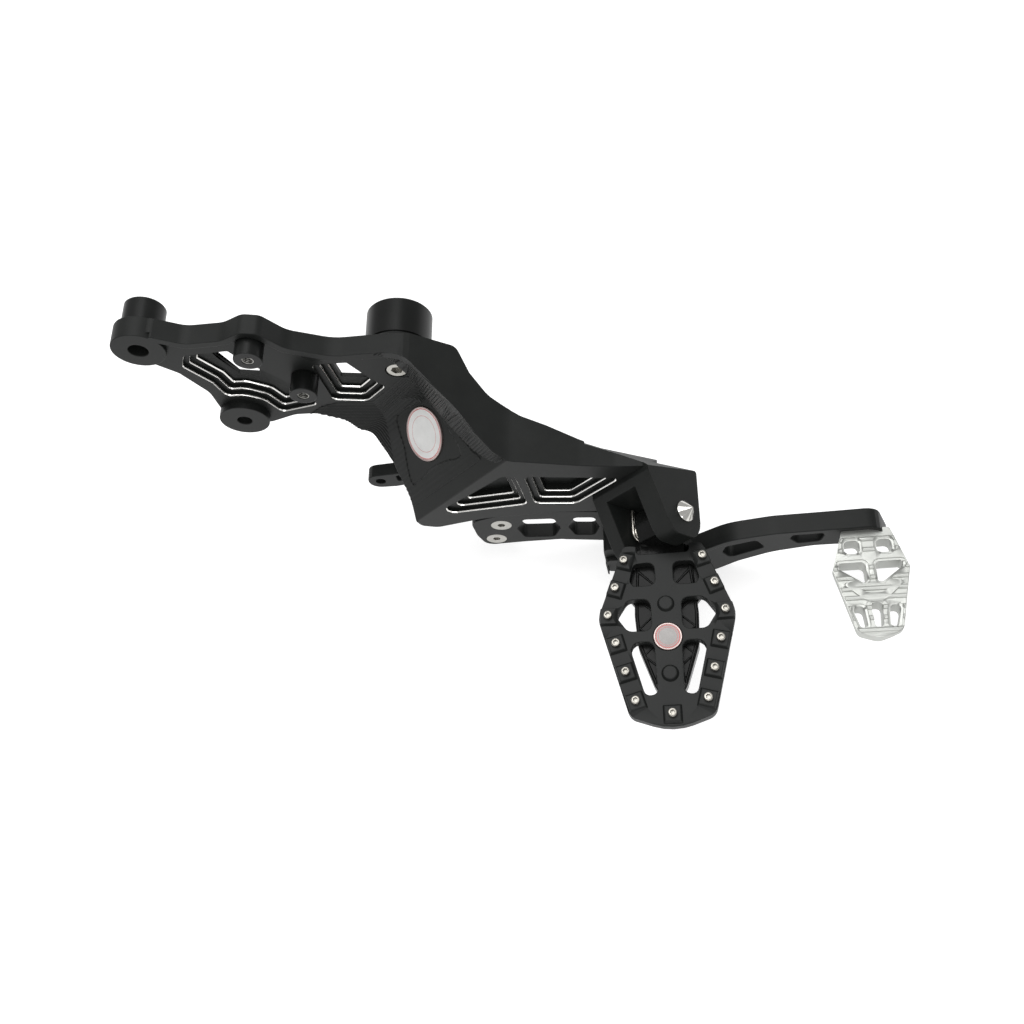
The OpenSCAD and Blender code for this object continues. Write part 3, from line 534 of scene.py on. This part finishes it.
def flange_scallops():
    count, across = 540, 9

    def flange_edge(px, py):
        last = None
        for k in range(24):
            shift = 4.5 - 0.33 * k
            hit, normal, _, _ = bracket_skin.ray_cast(eye, sight(px + shift * 0.75, py - shift * 0.66))
            if hit is not None and normal.z > 0.7:
                last = hit
        return last

    def cove_foot(px, py):
        hit, normal, _, _ = bracket_skin.ray_cast(eye, sight(px, py))
        return hit if hit is not None and hit.y < 0.0035 and normal.y < -0.3 else None

    tops = evened([flange_edge(*along(band_upper, i / count)) for i in range(count + 1)], 16)
    tops = evened(tops, 10)
    feet = evened([cove_foot(*along(band_lower, i / count)) for i in range(count + 1)], 9)
    work = bmesh.new()
    rows = []
    travelled = 0.0
    for i, (top, foot) in enumerate(zip(tops, feet)):
        if i:
            travelled += (top - tops[i - 1]).length
        run = (tops[min(count, i + 2)] - tops[max(0, i - 2)]).normalized()
        out = run.cross(foot - top).normalized()
        if out.dot(ahead) > 0:
            out = -out
        row = []
        for j in range(across + 1):
            u = j / across
            phase = (travelled * 1000 / 1.8 + u) % 1.0
            ends = min(1.0, u * 6, (1 - u) * 6, i / 8, (count - i) / 8)
            row.append(work.verts.new(
                top.lerp(foot, u) + out * (ends * 0.0007 * (2 * phase - 1) ** 2 - 0.0001)))
        middle = top.lerp(foot, 0.5)
        toward = (middle - eye).normalized()
        behind = bracket_skin.ray_cast(middle + toward * 0.00005, toward)[0]
        depth = 0.002 + (min((behind - middle).length, 0.014) if behind is not None else 0.0)
        row.append(work.verts.new(middle + toward * depth))
        rows.append(row)
    sides = across + 2
    for a, b in zip(rows, rows[1:]):
        for j in range(sides):
            k = (j + 1) % sides
            work.faces.new((a[j], b[j], b[k], a[k]))
    work.faces.new(rows[0])
    work.faces.new(rows[-1][::-1])
    bmesh.ops.triangulate(work, faces=[f for f in work.faces if len(f.verts) > 4])
    bmesh.ops.recalc_face_normals(work, faces=work.faces)
    mesh = mesh_of(work, "flange_scallops")
    piece = in_scene("flange_scallops", mesh)
    mesh.materials.append(anodised)
    mesh.shade_smooth()
    mesh.set_sharp_from_angle(angle=math.radians(60))
    return placed(piece, "bracket", "black_anodised")


def evened(line, reach):
    """The line with its gaps filled and its jumps smoothed by the points on either side."""
    result = []
    for i in range(len(line)):
        wide = reach
        near = []
        while not near:
            near = [q for q in line[max(0, i - wide):i + wide + 1] if q is not None]
            wide *= 2
        result.append(sum(near, Vector()) / len(near))
    return result


flange_scallops()

# Frame spacers: turned from aluminium bar and anodised with the bracket.
# The large one has a flared foot and a cone under its rim.
turned_black = metal("turned black", (0.0050, 0.0055, 0.0052), (0.0078, 0.0084, 0.0080), 0.34, spread=0.08,
                     depth=0.04, specular=0.17,
                     marks={"Turn": (math.radians(90), 0, 0), "Pitch": 700.0, "Depth": 0.05})


def lathe(name, outline, centre, finish_of=None, around=72):
    """Closed outline of (radius, depth) in mm, turned about a line along Y through centre."""
    work = bmesh.new()
    rings = []
    for k in range(around):
        w = 2 * math.pi * k / around
        rings.append([work.verts.new((centre[0] + r * math.cos(w) / 1000, centre[1] + d / 1000,
                                      centre[2] + r * math.sin(w) / 1000))
                      for r, d in outline])
    for a, b in zip(rings, rings[1:] + rings[:1]):
        for j in range(len(outline)):
            k = (j + 1) % len(outline)
            face = work.faces.new((a[j], a[k], b[k], b[j]))
            face.material_index = finish_of[j] if finish_of else 0
    bmesh.ops.remove_doubles(work, verts=work.verts, dist=1e-7)
    bmesh.ops.recalc_face_normals(work, faces=work.faces)
    return mesh_of(work, name)


main_at = (0.1264, 0.0, -0.0463)
finished(lathe("main_spacer_turned", [
    (4, 12), (19.9, 12), (20.1, 12.3), (20.1, 13.2), (19.2, 15.2), (18.1, 15.9), (17.5, 16.1), (17.5, 16.9),
    (18.2, 17.3), (18.2, 37.8), (17.5, 38.6), (5.7, 38.6), (5, 37.9), (5, 24), (4, 23)], main_at),
    "main_spacer_turned", "bracket", "black_anodised", [turned_black], "main_spacer")
finished(lathe("rear_spacer_turned", [
    (5.25, 12), (10.6, 12), (10.9, 12.3), (10.9, 12.8), (11, 13), (11, 26.4), (10.5, 27), (5.8, 27),
    (5.25, 26.5)], (0, 0, 0)),
    "rear_spacer_turned", "bracket", "black_anodised", [turned_black], "rear_spacer")
machined("main_screw", "main_socket_screw", "bracket", "stainless", [stainless], edge=0.00025)

# Cylinder posts: two turned posts pressed into spot faces of the plate.
# Their cut threads show bare metal round the mouth of each hole.
def geometry_tree(name, sockets, inputs):
    """A new tree with these inputs between its ends; their identifiers are kept in inputs."""
    tree = bpy.data.node_groups.new(name, "GeometryNodeTree")
    tree.interface.new_socket("Geometry", in_out="INPUT", socket_type="NodeSocketGeometry")
    for label, kind in sockets:
        inputs[label] = tree.interface.new_socket(label, in_out="INPUT", socket_type=kind).identifier
    tree.interface.new_socket("Geometry", in_out="OUTPUT", socket_type="NodeSocketGeometry")
    return tree, tree.nodes.new("NodeGroupInput"), tree.nodes.new("NodeGroupOutput")


wire_inputs = {}


def wire_tree():
    tree, given, out = geometry_tree(
        "wire along a path",
        (("Wire radius", "NodeSocketFloat"), ("Sides", "NodeSocketInt"),
         ("Finish", "NodeSocketMaterial")), wire_inputs)
    path = tree.nodes.new("GeometryNodeMeshToCurve")
    ring = tree.nodes.new("GeometryNodeCurvePrimitiveCircle")
    tube = tree.nodes.new("GeometryNodeCurveToMesh")
    tube.inputs["Fill Caps"].default_value = True
    smooth = tree.nodes.new("GeometryNodeSetShadeSmooth")
    real = tree.nodes.new("GeometryNodeRealizeInstances")
    dress = tree.nodes.new("GeometryNodeSetMaterial")
    link = tree.links.new
    link(given.outputs["Geometry"], path.inputs["Mesh"])
    link(given.outputs["Wire radius"], ring.inputs["Radius"])
    link(given.outputs["Sides"], ring.inputs["Resolution"])
    link(path.outputs["Curve"], tube.inputs["Curve"])
    link(ring.outputs["Curve"], tube.inputs["Profile Curve"])
    link(tube.outputs["Mesh"], smooth.inputs["Geometry"])
    link(smooth.outputs["Geometry"], real.inputs["Geometry"])
    link(real.outputs["Geometry"], dress.inputs["Geometry"])
    link(given.outputs["Finish"], dress.inputs["Material"])
    link(dress.outputs["Geometry"], out.inputs["Geometry"])
    return tree


wire_along = wire_tree()


def wire(name, paths, radius, material, body, slot, *stands_for, sides=12):
    mesh = bpy.data.meshes.new(name)
    points, edges = [], []
    for path in paths:
        start = len(points)
        points += path
        edges += [(start + i, start + i + 1) for i in range(len(path) - 1)]
    mesh.from_pydata(points, edges, [])
    piece = in_scene(name, mesh)
    tube = piece.modifiers.new("wire", "NODES")
    tube.node_group = wire_along
    tube[wire_inputs["Wire radius"]] = radius
    tube[wire_inputs["Sides"]] = sides
    tube[wire_inputs["Finish"]] = material
    return placed(settled(piece), body, slot, *stands_for)


def helix(centre, axis, radius, start, end, turns, first=0.0, per_turn=28):
    axis = Vector(axis).normalized()
    side = axis.orthogonal().normalized()
    other = axis.cross(side)
    count = int(per_turn * turns)
    return [Vector(centre) + axis * (start + (end - start) * k / count)
            + side * radius * math.cos(first + 2 * math.pi * turns * k / count)
            + other * radius * math.sin(first + 2 * math.pi * turns * k / count) for k in range(count + 1)]


bare_thread = metal("bare thread", (0.30, 0.30, 0.28), (0.42, 0.41, 0.39), 0.3, metallic=1.0, spread=0.2,
                    depth=0.05)
posts = {"rear_post": (0.0586, -0.0063), "front_post": (0.0751, -0.0438)}
for node, (x, z) in posts.items():
    machined(node, node + "_turned", "bracket", "black_anodised", [turned_black], edge=0.0004)
wire("post_threads", [helix((x, -0.0088, z), (0, 1, 0), 0.00295, 0.0, 0.010, 10) for x, z in posts.values()],
     0.00032, bare_thread, "bracket", "stainless", sides=6)

# Badges: blank round name plates of brushed metal with a rolled edge, glued into round seats.
# They are left without words or pictures; two thin enamel rings are all they carry.
badge_silver = metal("brushed badge", (0.56, 0.56, 0.55), (0.70, 0.70, 0.69), 0.30, metallic=0.85,
                     spread=0.12, depth=0.03, marks={"Pitch": 900.0, "Depth": 0.10})
badge_rim = metal("badge rim", (0.34, 0.25, 0.24), (0.46, 0.38, 0.36), 0.32, metallic=0.85, spread=0.1,
                  depth=0.03)
enamel = metal("red enamel", (0.42, 0.055, 0.05), (0.50, 0.08, 0.07), 0.30, spread=0.06, depth=0.02)
# The deck badge is the same brushed metal, painted darker as shade: its low base colour dims the overhead
# lamp's reflection in it.
deck_badge_painted_shade = metal("worn badge", (0.17, 0.165, 0.16), (0.25, 0.24, 0.235), 0.46, metallic=0.85, spread=0.16,
                    depth=0.06)


def badge(name, node, radius, seat, top, turn, place, body, silver):
    face = 0.82 * top
    profile = [(0, seat), (radius, seat), (radius, top * 0.8), (radius - 0.25, top), (radius - 0.55, top),
               (radius - 0.8, face), (radius - 1.0, face), (radius - 1.5, face),
               (radius * 0.66 + 0.22, face), (radius * 0.66, face), (0, face)]
    finishes = [0, 1, 1, 1, 1, 0, 2, 0, 2, 0, 0]
    mesh = lathe(name, [(r, -d) for r, d in profile], (0, 0, 0), finishes, 96)
    mesh.transform(Matrix.Translation(place) @ turn)
    return finished(mesh, name, body, "badge_metal", [silver, badge_rim, enamel], node)


wall_turn = Matrix.Rotation(math.radians(45), 4, "Y") @ Matrix.Rotation(-math.atan(slope), 4, "Z")
s, m = 152.1, 37.1
wall_spot = Vector(((s + m) * half_root, face_y - (s - wall_s0) * slope, (m - s) * half_root)) / 1000
badge("wall_badge_blank", "wall_badge", 15.5, -1.0, 0.75, wall_turn, wall_spot, "bracket", badge_silver)
badge("deck_badge_blank", "deck_badge", 7.3, -1.1, 0.45, Matrix.Rotation(math.radians(-90), 4, "X"),
      (0.261, -0.136, -0.106), "peg", deck_badge_painted_shade)

# Hinge: a polished pin with a pointed head goes through both ears and the knuckle.
# A nut holds it below, and a wound spring beside the knuckle snaps the peg open.
polished = metal("polished stainless", (0.58, 0.57, 0.54), (0.66, 0.65, 0.62), 0.14, metallic=1.0,
                 spread=0.06, depth=0.015)
spring_wire = metal("spring wire", (0.40, 0.38, 0.34), (0.52, 0.50, 0.46), 0.26, metallic=1.0, spread=0.12,
                    depth=0.04)
machined("hinge_pin", "hinge_pin_polished", "bracket", "stainless", [polished], edge=0.0002, angle=24,
         soft=34)
machined("pin_nut", "pin_lock_nut", "bracket", "stainless", [stainless], edge=0.00035)
hinge_line = Vector((half_root, 0, half_root))
hinge_across = Vector((half_root, 0, -half_root))
hinge_at = hinge_across * 0.2577 + Vector((0, -0.0731, 0))
coil = []
turns = 2.5
coil_points = 70
coil_radius = 0.00525
for k in range(coil_points + 1):
    w = math.pi + 2 * math.pi * turns * k / coil_points
    coil.append(hinge_at + hinge_line * (0.0952 + 0.0045 * k / coil_points)
                + hinge_across * coil_radius * math.cos(w) + Vector((0, coil_radius, 0)) * math.sin(w))
lead_in = [coil[0] + Vector((0, 0.0125, 0)), coil[0] + Vector((0, 0.004, 0))]
lead_out = [coil[-1] + Vector((0, -0.003, 0)), coil[-1] + Vector((0, -0.0075, 0))]
wire("fold_spring_wire", [lead_in + coil + lead_out], 0.0009, spring_wire, "bracket", "spring_steel",
     "fold_spring")

# Peg arm: a casting coated satin black, with ribs and two side webs under the deck.
# Its knuckle takes a plain bronze bush.
cast_black = metal("cast black", (0.0040, 0.0042, 0.0040), (0.0080, 0.0082, 0.0080), 0.24, spread=0.16,
                   grain=900.0, depth=0.2, specular=0.10)
bronze = metal("bronze", (0.32, 0.20, 0.09), (0.42, 0.28, 0.14), 0.34, metallic=1.0, spread=0.12, depth=0.04)
machined("peg_arm", "peg_arm_cast", "peg", "cast_black", [cast_black], edge=0.0006)
deck_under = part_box("peg_deck")[0][2]
rib_paths = []
for side in (-1, 1):
    zigzag = [(13.5, -97), (5.5, -105), (15, -113), (5.5, -121), (14.5, -129), (5.5, -137), (13, -144),
              (5, -151), (8, -159)]
    rail = [(13.8, -95), (15.2, -112), (15.5, -122), (14.6, -138), (7.6, -159)]
    for path in (zigzag, rail):
        rib_paths.append([Vector((0.261 + side * x / 1000, y / 1000, deck_under - 0.0002)) for x, y in path])
wire("arm_ribs_cast", rib_paths, 0.0009, cast_black, "peg", "cast_black", sides=8)
for side, name in ((-1, "arm_web_left"), (1, "arm_web_right")):
    web = [(261 + side * x, y) for x, y in ((12, -94), (20, -96.5), (20.5, -111), (14, -119))]
    finished(slab(name, web, deck_under * 1000 - 4, deck_under * 1000 - 0.6, lambda a, b, c: (a, b, c)),
             name, "peg", "cast_black", [cast_black])
machined("hinge_bush", "hinge_bush_turned", "peg", "bronze", [bronze], edge=0.0002)

# Deck: milled aluminium plate, blasted and anodised black, with drafted square pads.
# It is bolted to the arm from below; two round bosses hide the screw ends.
deck_black = metal("deck black", (0.0088, 0.0096, 0.0092), (0.0125, 0.0134, 0.0128), 0.50, spread=0.12,
                   grain=3200.0, depth=0.09, specular=0.22)
machined("peg_deck", "peg_deck_plate", "peg", "black_anodised", [deck_black], edge=0.00045)
for node in ("deck_screw_inner", "deck_screw_outer"):
    machined(node, node + "_steel", "peg", "stainless", [stainless], edge=0.0002)

# Grip pins: thirteen small stainless socket screws, one on each pad.
# Each stands as it was tightened, so no two sockets point the same way.
pin_inputs = {}


def pin_tree():
    tree, given, out = geometry_tree(
        "a pin on each pad",
        (("Pin", "NodeSocketObject"), ("Seed", "NodeSocketInt"),
         ("Finish", "NodeSocketMaterial")), pin_inputs)
    pattern = tree.nodes.new("GeometryNodeObjectInfo")
    turn = tree.nodes.new("FunctionNodeRandomValue")
    turn.data_type = "FLOAT_VECTOR"
    turn.inputs["Min"].default_value = (0, 0, 0)
    turn.inputs["Max"].default_value = (0, 0, math.pi / 3)
    stand = tree.nodes.new("GeometryNodeInstanceOnPoints")
    real = tree.nodes.new("GeometryNodeRealizeInstances")
    dress = tree.nodes.new("GeometryNodeSetMaterial")
    link = tree.links.new
    link(given.outputs["Geometry"], stand.inputs["Points"])
    link(given.outputs["Pin"], pattern.inputs["Object"])
    link(given.outputs["Seed"], turn.inputs["Seed"])
    link(pattern.outputs["Geometry"], stand.inputs["Instance"])
    link(turn.outputs["Value"], stand.inputs["Rotation"])
    link(stand.outputs["Instances"], real.inputs["Geometry"])
    link(real.outputs["Geometry"], dress.inputs["Geometry"])
    link(given.outputs["Finish"], dress.inputs["Material"])
    link(dress.outputs["Geometry"], out.inputs["Geometry"])
    return tree


def socket_pin():
    """One socket head pin standing on the origin: shank below, head with a hexagon socket above."""
    work = bmesh.new()
    around = 36
    outline = [(0.0, -5.8), (1.25, -5.8), (1.25, -0.02), (2.05, -0.02), (2.2, 0.15), (2.2, 2.2), (2.08, 2.45),
               (1.8, 2.6)]
    rings = []
    for r, z in outline:
        if r == 0:
            rings.append([work.verts.new((0, 0, z / 1000))])
        else:
            rings.append([work.verts.new((r * math.cos(2 * math.pi * k / around) / 1000,
                                          r * math.sin(2 * math.pi * k / around) / 1000, z / 1000))
                          for k in range(around)])
    socket = []
    for depth, size in ((2.6, 1.36), (2.45, 1.24), (1.0, 1.24)):
        ring = []
        for k in range(around):
            w = 2 * math.pi * k / around
            reach = size / math.cos((w % (math.pi / 3)) - math.pi / 6) * math.cos(math.pi / 6)
            ring.append(work.verts.new((reach * math.cos(w) / 1000, reach * math.sin(w) / 1000,
                                        depth / 1000)))
        socket.append(ring)
    rings += socket
    rings.append([work.verts.new((0, 0, 0.00075))])
    for a, b in zip(rings, rings[1:]):
        for k in range(around):
            n = (k + 1) % around
            loop = [a[k % len(a)], a[n % len(a)], b[n % len(b)], b[k % len(b)]]
            flat = []
            for v in loop:
                if v not in flat:
                    flat.append(v)
            work.faces.new(flat)
    bmesh.ops.recalc_face_normals(work, faces=work.faces)
    mesh = mesh_of(work, "pin_pattern")
    mesh.shade_smooth()
    mesh.set_sharp_from_angle(angle=math.radians(30))
    return mesh


pin_steel = metal("pin steel", (0.26, 0.25, 0.225), (0.40, 0.385, 0.35), 0.36, metallic=1.0, spread=0.2,
                  depth=0.05)
pin_rows = [(20.7, -93), (26, -108.4), (30.3, -123.7), (26.8, -139), (22.5, -154.5), (18.1, -169.8)]
pin_spots = [(0.261 + side * dx / 1000, y / 1000, -0.104)
             for dx, y in pin_rows for side in (-1, 1)] + [(0.261, -0.1769, -0.104)]
pattern = in_scene("pin_pattern", socket_pin())
spots = bpy.data.meshes.new("grip_pins_steel")
spots.from_pydata(pin_spots, [], [])
pins = in_scene("grip_pins_steel", spots)
rows = pins.modifiers.new("pins", "NODES")
rows.node_group = pin_tree()
rows[pin_inputs["Pin"]] = pattern
rows[pin_inputs["Seed"]] = 7
rows[pin_inputs["Finish"]] = pin_steel
placed(settled(pins), "peg", "stainless", "grip_pins")
bpy.data.objects.remove(pattern)

# Bell crank and pivot: a milled lever on a bronze bush, held by a shoulder bolt and washer.
# A wound spring round the boss brings the brake lever back.
machined("bell_crank", "bell_crank_milled", "lever", "black_anodised", [anodised], edge=0.0004)
machined("pivot_bush", "pivot_bush_turned", "lever", "bronze", [bronze], edge=0.0002)
machined("pivot_bolt", "pivot_shoulder_bolt", "bracket", "stainless", [stainless], edge=0.0003)
machined("pivot_washer", "pivot_washer_turned", "bracket", "stainless", [stainless], edge=0.0002)
pivot_at = Vector((0.138, 0, -0.118))
return_coil = []
for k in range(57):
    w = math.pi / 2 - 4 * math.pi * k / 56
    return_coil.append(pivot_at + Vector((0, -0.0288 + 0.0020 * k / 56, 0))
                       + Vector((math.cos(w), 0, math.sin(w))) * 0.0124)
wire("return_spring_wire", [[return_coil[0] + Vector((0.020, 0, 0)),
                             return_coil[0] + Vector((0.006, 0, 0))] + return_coil],
     0.00085, spring_wire, "bracket", "spring_steel", "return_spring")

# Brake lever: milled in one, stepped outboard below the clevis, with a lip along its outer half.
# Two countersunk screws hold it to the crank. The toe peg is bare blasted aluminium, screwed on from behind.
machined("brake_lever", "brake_lever_milled", "lever", "black_anodised", [anodised], edge=0.0005)
csk_steel = metal("countersunk steel", (0.38, 0.375, 0.35), (0.50, 0.49, 0.46), 0.32, metallic=1.0,
                  spread=0.12, depth=0.03)
for node in ("lever_screw_upper", "lever_screw_lower", "toe_screw"):
    machined(node, node + "_steel", "lever", "stainless", [csk_steel], edge=0.0002)
bare_aluminium = metal("bare blasted aluminium", (0.46, 0.47, 0.445), (0.54, 0.55, 0.525), 0.44, metallic=0.6,
                       spread=0.10, grain=2200.0, depth=0.10, specular=0.3)
machined("toe_peg", "toe_peg_bare", "lever", "silver_aluminium", [bare_aluminium], edge=0.0003, soft=22)

# Studio: white paper under the part, one broad lamp above and a plain white surround.
# The paper and the surround look white to the camera and in gloss, at no cost to the shadow.
studio_floor_z = cad_box[0][2] - 0.0005


def flat_sheet(name, size, z):
    mesh = bpy.data.meshes.new(name)
    mesh.from_pydata([(-size, -size, z), (size, -size, z), (size, size, z), (-size, size, z)], [],
                     [(0, 1, 2, 3)])
    sheet = in_scene(name, mesh)
    return sheet


paper_level = 0.62
paper = flat_sheet("paper_floor", 6.0, studio_floor_z)
paper_finish = bpy.data.materials.new("white paper")
paper_finish.use_nodes = True
tree = paper_finish.node_tree
tree.nodes.remove(tree.nodes["Principled BSDF"])
diffuse = add_node(tree, "ShaderNodeBsdfDiffuse", {"Color": (paper_level, paper_level, paper_level, 1)})
glow = add_node(tree, "ShaderNodeEmission", {"Color": (1, 1, 1, 1), "Strength": paper_level})
rays = add_node(tree, "ShaderNodeLightPath")
seen = add_node(tree, "ShaderNodeMath", operation="MAXIMUM")
seen_too = add_node(tree, "ShaderNodeMath", operation="MAXIMUM")
strength = add_node(tree, "ShaderNodeMath", {1: paper_level}, operation="MULTIPLY")
both = add_node(tree, "ShaderNodeAddShader")
tree.links.new(rays.outputs["Is Camera Ray"], seen.inputs[0])
tree.links.new(rays.outputs["Is Glossy Ray"], seen.inputs[1])
tree.links.new(seen.outputs[0], seen_too.inputs[0])
tree.links.new(rays.outputs["Is Transmission Ray"], seen_too.inputs[1])
tree.links.new(seen_too.outputs[0], strength.inputs[0])
tree.links.new(strength.outputs[0], glow.inputs["Strength"])
tree.links.new(diffuse.outputs[0], both.inputs[0])
tree.links.new(glow.outputs[0], both.inputs[1])
tree.links.new(both.outputs[0], tree.nodes["Material Output"].inputs["Surface"])
paper.data.materials.append(paper_finish)

world = bpy.data.worlds.new("studio")
bpy.context.scene.world = world
world.use_nodes = True
tree = world.node_tree
back = tree.nodes["Background"]
back.inputs["Color"].default_value = (1, 1, 1, 1)
back.inputs["Strength"].default_value = 0.55
white = add_node(tree, "ShaderNodeBackground", {"Color": (1, 1, 1, 1), "Strength": 1.0})
rays = add_node(tree, "ShaderNodeLightPath")
choose = add_node(tree, "ShaderNodeMixShader")
tree.links.new(rays.outputs["Is Camera Ray"], choose.inputs["Fac"])
tree.links.new(back.outputs[0], choose.inputs[1])
tree.links.new(white.outputs[0], choose.inputs[2])
tree.links.new(choose.outputs[0], tree.nodes["World Output"].inputs["Surface"])


def soft_lamp(name, place, aim, size, power):
    data = bpy.data.lights.new(name, "AREA")
    data.shape = "RECTANGLE"
    data.size, data.size_y = size
    data.energy = power
    lamp = in_scene(name, data)
    lamp.location = place
    lamp.rotation_mode = "QUATERNION"
    lamp.rotation_quaternion = (Vector(aim) - Vector(place)).to_track_quat("-Z", "Y")


middle = (0.18, -0.06, -0.08)
soft_lamp("overhead_softbox", (0.05, 0.25, 1.25), middle, (1.1, 0.9), 14)
soft_lamp("front_softbox", (0.35, -1.2, 0.7), middle, (1.0, 0.6), 6)
